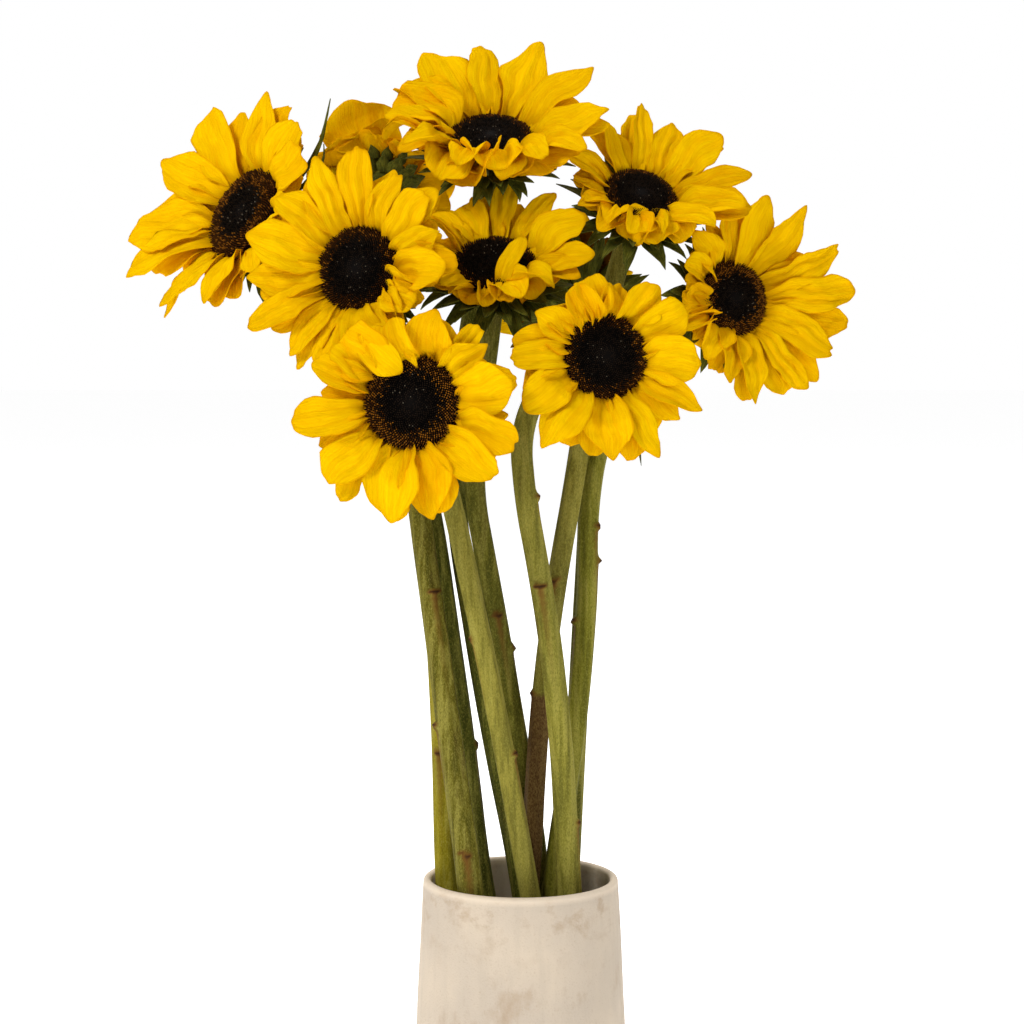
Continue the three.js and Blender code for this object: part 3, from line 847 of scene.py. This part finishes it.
def petals(bloom):
    sheets = Sheets()
    bloom_seed, count, breadth, curls = HABITS[bloom.letter]
    dice = np.random.default_rng(bloom_seed)
    mean_reach = float(np.median([bloom.reach(turn) for turn in range(0, 360, 30)]))
    slope = math.degrees(math.atan2(bloom.cup, mean_reach - bloom.disk))
    root = bloom.disk - PETAL_OVERLAP
    for row, (reaches, breadths, fall, odds) in enumerate(ROWS):
        rows, columns = PETAL_MESH[row]
        start = FIRST_TURN.get(bloom.letter, dice.uniform(0, 360)) + 180 * (row % 2) / count
        for turn in start + (np.arange(count) + dice.uniform(-0.2, 0.2, count)) * 360 / count:
            curled, shorter = 0, 0
            for middle, spread, loss in curls:
                off = abs((turn - middle + 180) % 360 - 180) / spread
                if off < 1:
                    curled, shorter = math.sqrt(1 - off), loss
            full = bloom.reach(turn)
            reach = full * dice.uniform(*reaches) * (1 - shorter * curled)
            spacing = 2 * math.pi * (bloom.disk + 0.5 * (full - bloom.disk)) / count
            width = spacing * breadth * dice.uniform(*breadths) * (1 + 0.25 * curled)
            calm = np.array((48 - fall + dice.uniform(-8, 8), slope + 2 - fall + dice.uniform(-5, 5),
                             slope - 16 - fall + dice.uniform(-12, 10)))
            stirred = np.array((dice.uniform(60, 90), dice.uniform(10, 45), dice.uniform(-90, -20))) - fall
            tip = TIP_SHAPES[dice.choice(4, p=TIP_ODDS)]
            widest = dice.uniform(0.42, 0.6)
            lean = dice.uniform(3, 12)
            trough = (dice.uniform(45, 75) + 15 * curled, 5 + 42 * dice.uniform() ** 2 + 24 * curled)
            twist = dice.uniform(-12, 12) * (1 + 2.5 * curled)
            sweep = dice.uniform(-0.08, 0.08)
            ripple = dice.uniform(0.02, 0.075) * (1 + curled)
            groove = dice.uniform(0.9, 1.8) * MM
            crumple = dice.uniform(2.4, 4.4) * (1 + 0.5 * curled) * MM
            seed = dice.uniform(0, 9)
            tint = int(dice.choice(len(TINTS), p=odds))
            # Painted shade: this bloom's rear rows take the dark brown tint.
            if bloom.letter == SHADE_PAINTED_BLOOM and row > 0:
                tint = len(TINTS) - 1
            petal = blade(turn, root, (-1.5 - 1.3 * row) * MM, 0, width, calm + curled * (stirred - calm),
                          tip=tip, hold=min(0.8, max(0.34, 8 * MM / width)), widest=widest, trough=trough,
                          lean=lean, twist=twist, sweep=sweep, ripple=ripple, groove=groove,
                          crumple=crumple, seed=seed, reach=reach, rows=rows, columns=columns)
            sheets.add(petal, tint)
    for fold in FOLDED.get(bloom.letter, []):
        given = dict(tip=ROUND, groove=0.6 * MM, crumple=2 * MM, ripple=0.04, lean=6, rows=20, columns=14)
        given.update(fold)
        for size in ("length", "width", "height"):
            given[size] = fold.get(size, 0) * MM
        sheets.add(blade(root=root + given.pop("out", 0) * MM, hold=0.6, seed=fold["turn"] / 40, **given), 0)
    made = sheets.made("petals_" + bloom.letter, bloom, PETAL_LOOKS, PETAL_THICK)
    hand_over(made, "ray_yellow", "rays_" + bloom.letter)


for bloom in BLOOMS.values():
    petals(bloom)


# ---- The disks: some 1,500 tiny florets in crossing spirals on a low dome, nearly black in the middle.
# The outer florets have opened: they stand taller, lean out and are tipped with brown pollen.
# The dome sits in the mouth of the green head and covers the roots of the petals.
FLORETS = 1500
DOME = 5 * MM
# For each bloom, where its ring of open florets starts, as a share of the disk, and how much pollen it has.
RINGS = {
    "a": (0.56, 0.30), "b": (0.68, 0.16), "c": (0.62, 0.55), "d": (0.74, 0.16), "e": (0.78, 0.14),
    "f": (0.72, 0.24), "g": (0.76, 0.16), "h": (0.62, 0.60), "i": (0.68, 0.40), "j": (0.68, 0.40),
}
# Each floret stands this many degrees round from the last.
GOLDEN_ANGLE = 137.508
FLORET_FIELD = 0.94
FLORET_COLOURS = {
    "floret_black": (0.0035, 0.0022, 0.0016), "floret_dark": (0.0200, 0.0120, 0.0070),
    "floret_brown": (0.075, 0.024, 0.0030), "floret_amber": (0.330, 0.120, 0.0110),
    # floret_painted_glint is painted highlight: pale flecks for glints on a few bud tips.
    "floret_maroon": (0.024, 0.0035, 0.0020), "floret_painted_glint": (0.140, 0.115, 0.080),
}


def floret_skin():
    tree, given, result = node_group("floret_skin", "ShaderNodeTree", [
        ("Tint", "Color"), ("Darker", "Color")], [("Color", "Color"), ("Roughness", "Float")])
    grit = object_noise(tree, 1200, detail=2)
    gritty = blend(tree, between(tree, grit, 0.35, 0.65), given["Darker"], given["Tint"])
    tree.links.new(gritty, result["Color"])
    tree.links.new(between(tree, grit, 0.3, 0.7, 0.5, 0.8), result["Roughness"])
    return tree


FLORET_SKIN = floret_skin()


def floret_paint(colour):
    def paint(tree, shader):
        cover(tree, shader, FLORET_SKIN, Tint=colour, Darker=deepened(colour, (0.45, 0.45, 0.45)))
    return paint


FLORET_LOOKS = {name: material(name, colour, 0.65, floret_paint(colour), Specular_IOR_Level=0.04)
                for name, colour in FLORET_COLOURS.items()}


def disk_tree():
    tree, given, result = node_group("florets", "GeometryNodeTree", SHAPE + [
        ("Disk radius", "Float"), ("Dome", "Float"), ("Count", "Int"), ("Ring start", "Float"),
        ("Pollen", "Float"), ("Seed", "Int")] + [(name, "Material") for name in FLORET_COLOURS], SHAPE)
    number = node(tree, "GeometryNodeInputIndex").outputs[0]
    counted = plus(tree, number, 0.5)
    share = maths(tree, "SQRT", maths(tree, "DIVIDE", counted, given["Count"]))
    turn = times(tree, number, math.radians(GOLDEN_ANGLE))
    reach = times(tree, share, given["Disk radius"])
    across = times(tree, reach, maths(tree, "COSINE", turn))
    along = times(tree, reach, maths(tree, "SINE", turn))
    rest = less(tree, 1.0, maths(tree, "POWER", times(tree, share, 0.98), 2.4))
    dimple = times(tree, maths(tree, "POWER", less(tree, 1.0, share), 3.0), 0.35)
    height = times(tree, less(tree, maths(tree, "POWER", rest, 0.6), dimple), given["Dome"])
    spot = node(tree, "ShaderNodeCombineXYZ", X=across, Y=along, Z=height)
    points = node(tree, "GeometryNodePoints", Count=given["Count"], Position=spot.outputs[0])
    opened = between(tree, less(tree, share, given["Ring start"]), -0.08, 0.16)

    def chance(low, high, offset):
        made = node(tree, "FunctionNodeRandomValue", {"data_type": "FLOAT"}, n2=low, n3=high)
        tree.links.new(plus(tree, given["Seed"], float(offset)), made.inputs["Seed"])
        return made.outputs[1]

    bud = node(tree, "GeometryNodeMeshCone", Vertices=5, Side_Segments=2, Radius_Top=0.25, Radius_Bottom=0.5,
               Depth=1.0)
    bud_height = node(tree, "ShaderNodeSeparateXYZ",
                      Vector=node(tree, "GeometryNodeInputPosition").outputs[0]).outputs["Z"]
    bud = node(tree, "GeometryNodeStoreNamedAttribute", {"data_type": "FLOAT", "domain": "FACE"},
               Geometry=bud.outputs[0], Name="tip", Value=bud_height)
    slant = times(tree, maths(tree, "POWER", share, 3.0), 0.6)

    def leaning(way, offset):
        outward = times(tree, maths(tree, way, turn), slant)
        return plus(tree, outward, chance(-0.1, 0.1, offset))

    out = node(tree, "ShaderNodeCombineXYZ", X=leaning("COSINE", 1), Y=leaning("SINE", 2), Z=1.0)
    stand = node(tree, "FunctionNodeAlignRotationToVector", {"axis": "Z"}, Vector=out.outputs[0])
    pitch = maths(tree, "DIVIDE", given["Disk radius"],
                  maths(tree, "SQRT", maths(tree, "DIVIDE", given["Count"], math.pi)))
    wide = times(tree, pitch, chance(0.8, 1.1, 3))
    stretched = plus(tree, times(tree, opened, chance(0.1, 0.8, 4)), 1.1)
    tall = times(tree, pitch, stretched)
    size = node(tree, "ShaderNodeCombineXYZ", X=wide, Y=wide, Z=tall)
    planted = node(tree, "GeometryNodeInstanceOnPoints", Points=points.outputs[0], Instance=bud.outputs[0],
                   Rotation=stand.outputs[0], Scale=size.outputs[0])
    luck = chance(0.0, 1.0, 5)
    kept = planted.outputs[0]
    for name, value in (("opened", opened), ("luck", luck), ("share", share)):
        kept = node(tree, "GeometryNodeStoreNamedAttribute", {"data_type": "FLOAT", "domain": "INSTANCE"},
                    Geometry=kept, Name=name, Value=value).outputs[0]
    dome = node(tree, "GeometryNodeMeshUVSphere", Segments=32, Rings=14, Radius=1.0)
    flat = node(tree, "ShaderNodeCombineXYZ", Z=times(tree, given["Dome"], 0.95),
                X=given["Disk radius"], Y=given["Disk radius"])
    squashed = node(tree, "GeometryNodeTransform", Geometry=dome.outputs[0], Scale=flat.outputs[0])
    joined = tree.nodes.new("GeometryNodeJoinGeometry")
    tree.links.new(kept, joined.inputs[0])
    tree.links.new(squashed.outputs[0], joined.inputs[0])
    whole = node(tree, "GeometryNodeRealizeInstances", Geometry=joined.outputs[0]).outputs[0]

    def read(name):
        return node(tree, "GeometryNodeInputNamedAttribute", {"data_type": "FLOAT"}, Name=name).outputs[0]

    def over(value, limit):
        return node(tree, "FunctionNodeCompare", {"data_type": "FLOAT", "operation": "GREATER_THAN"},
                    n0=value, n1=limit).outputs[0]

    def both(first, second):
        return node(tree, "FunctionNodeBooleanMath", {"operation": "AND"}, n0=first, n1=second).outputs[0]

    luck, opened, share, tip = read("luck"), read("opened"), read("share"), over(read("tip"), 0.6)
    whole = node(tree, "GeometryNodeSetMaterial", Geometry=whole,
                 Material=given["floret_black"]).outputs[0]
    ripe = over(opened, luck)
    dusted = over(times(tree, opened, given["Pollen"]), luck)
    # Painted highlight: a few bud tips in the middle take pale glint flecks.
    pale = both(tip, both(over(luck, 0.975), over(0.6, share)))
    # Painted light: about two in three bud tips are lighter than the buds below them, which also speckles the
    # middle.
    rules = (("floret_dark", both(tip, over(luck, 0.35))), ("floret_dark", ripe),
             ("floret_brown", both(ripe, tip)), ("floret_amber", both(dusted, tip)),
             ("floret_maroon", over(share, 0.975)), ("floret_painted_glint", pale))
    for name, where in rules:
        whole = node(tree, "GeometryNodeSetMaterial", Geometry=whole, Selection=where,
                     Material=given[name]).outputs[0]
    tree.links.new(whole, result[0])
    return tree


DISK = disk_tree()
for number, bloom in enumerate(BLOOMS.values()):
    ring_start, pollen = RINGS[bloom.letter]
    florets = grown("florets_" + bloom.letter, [(0, 0, 0)], [], DISK, {
        "Disk radius": bloom.disk * FLORET_FIELD, "Dome": DOME, "Count": FLORETS, "Ring start": ring_start,
        "Pollen": pollen, "Seed": 20 * number, **FLORET_LOOKS})
    florets.data.transform(bloom.place)
    hand_over(florets, "disk_brown", "disk_" + bloom.letter)
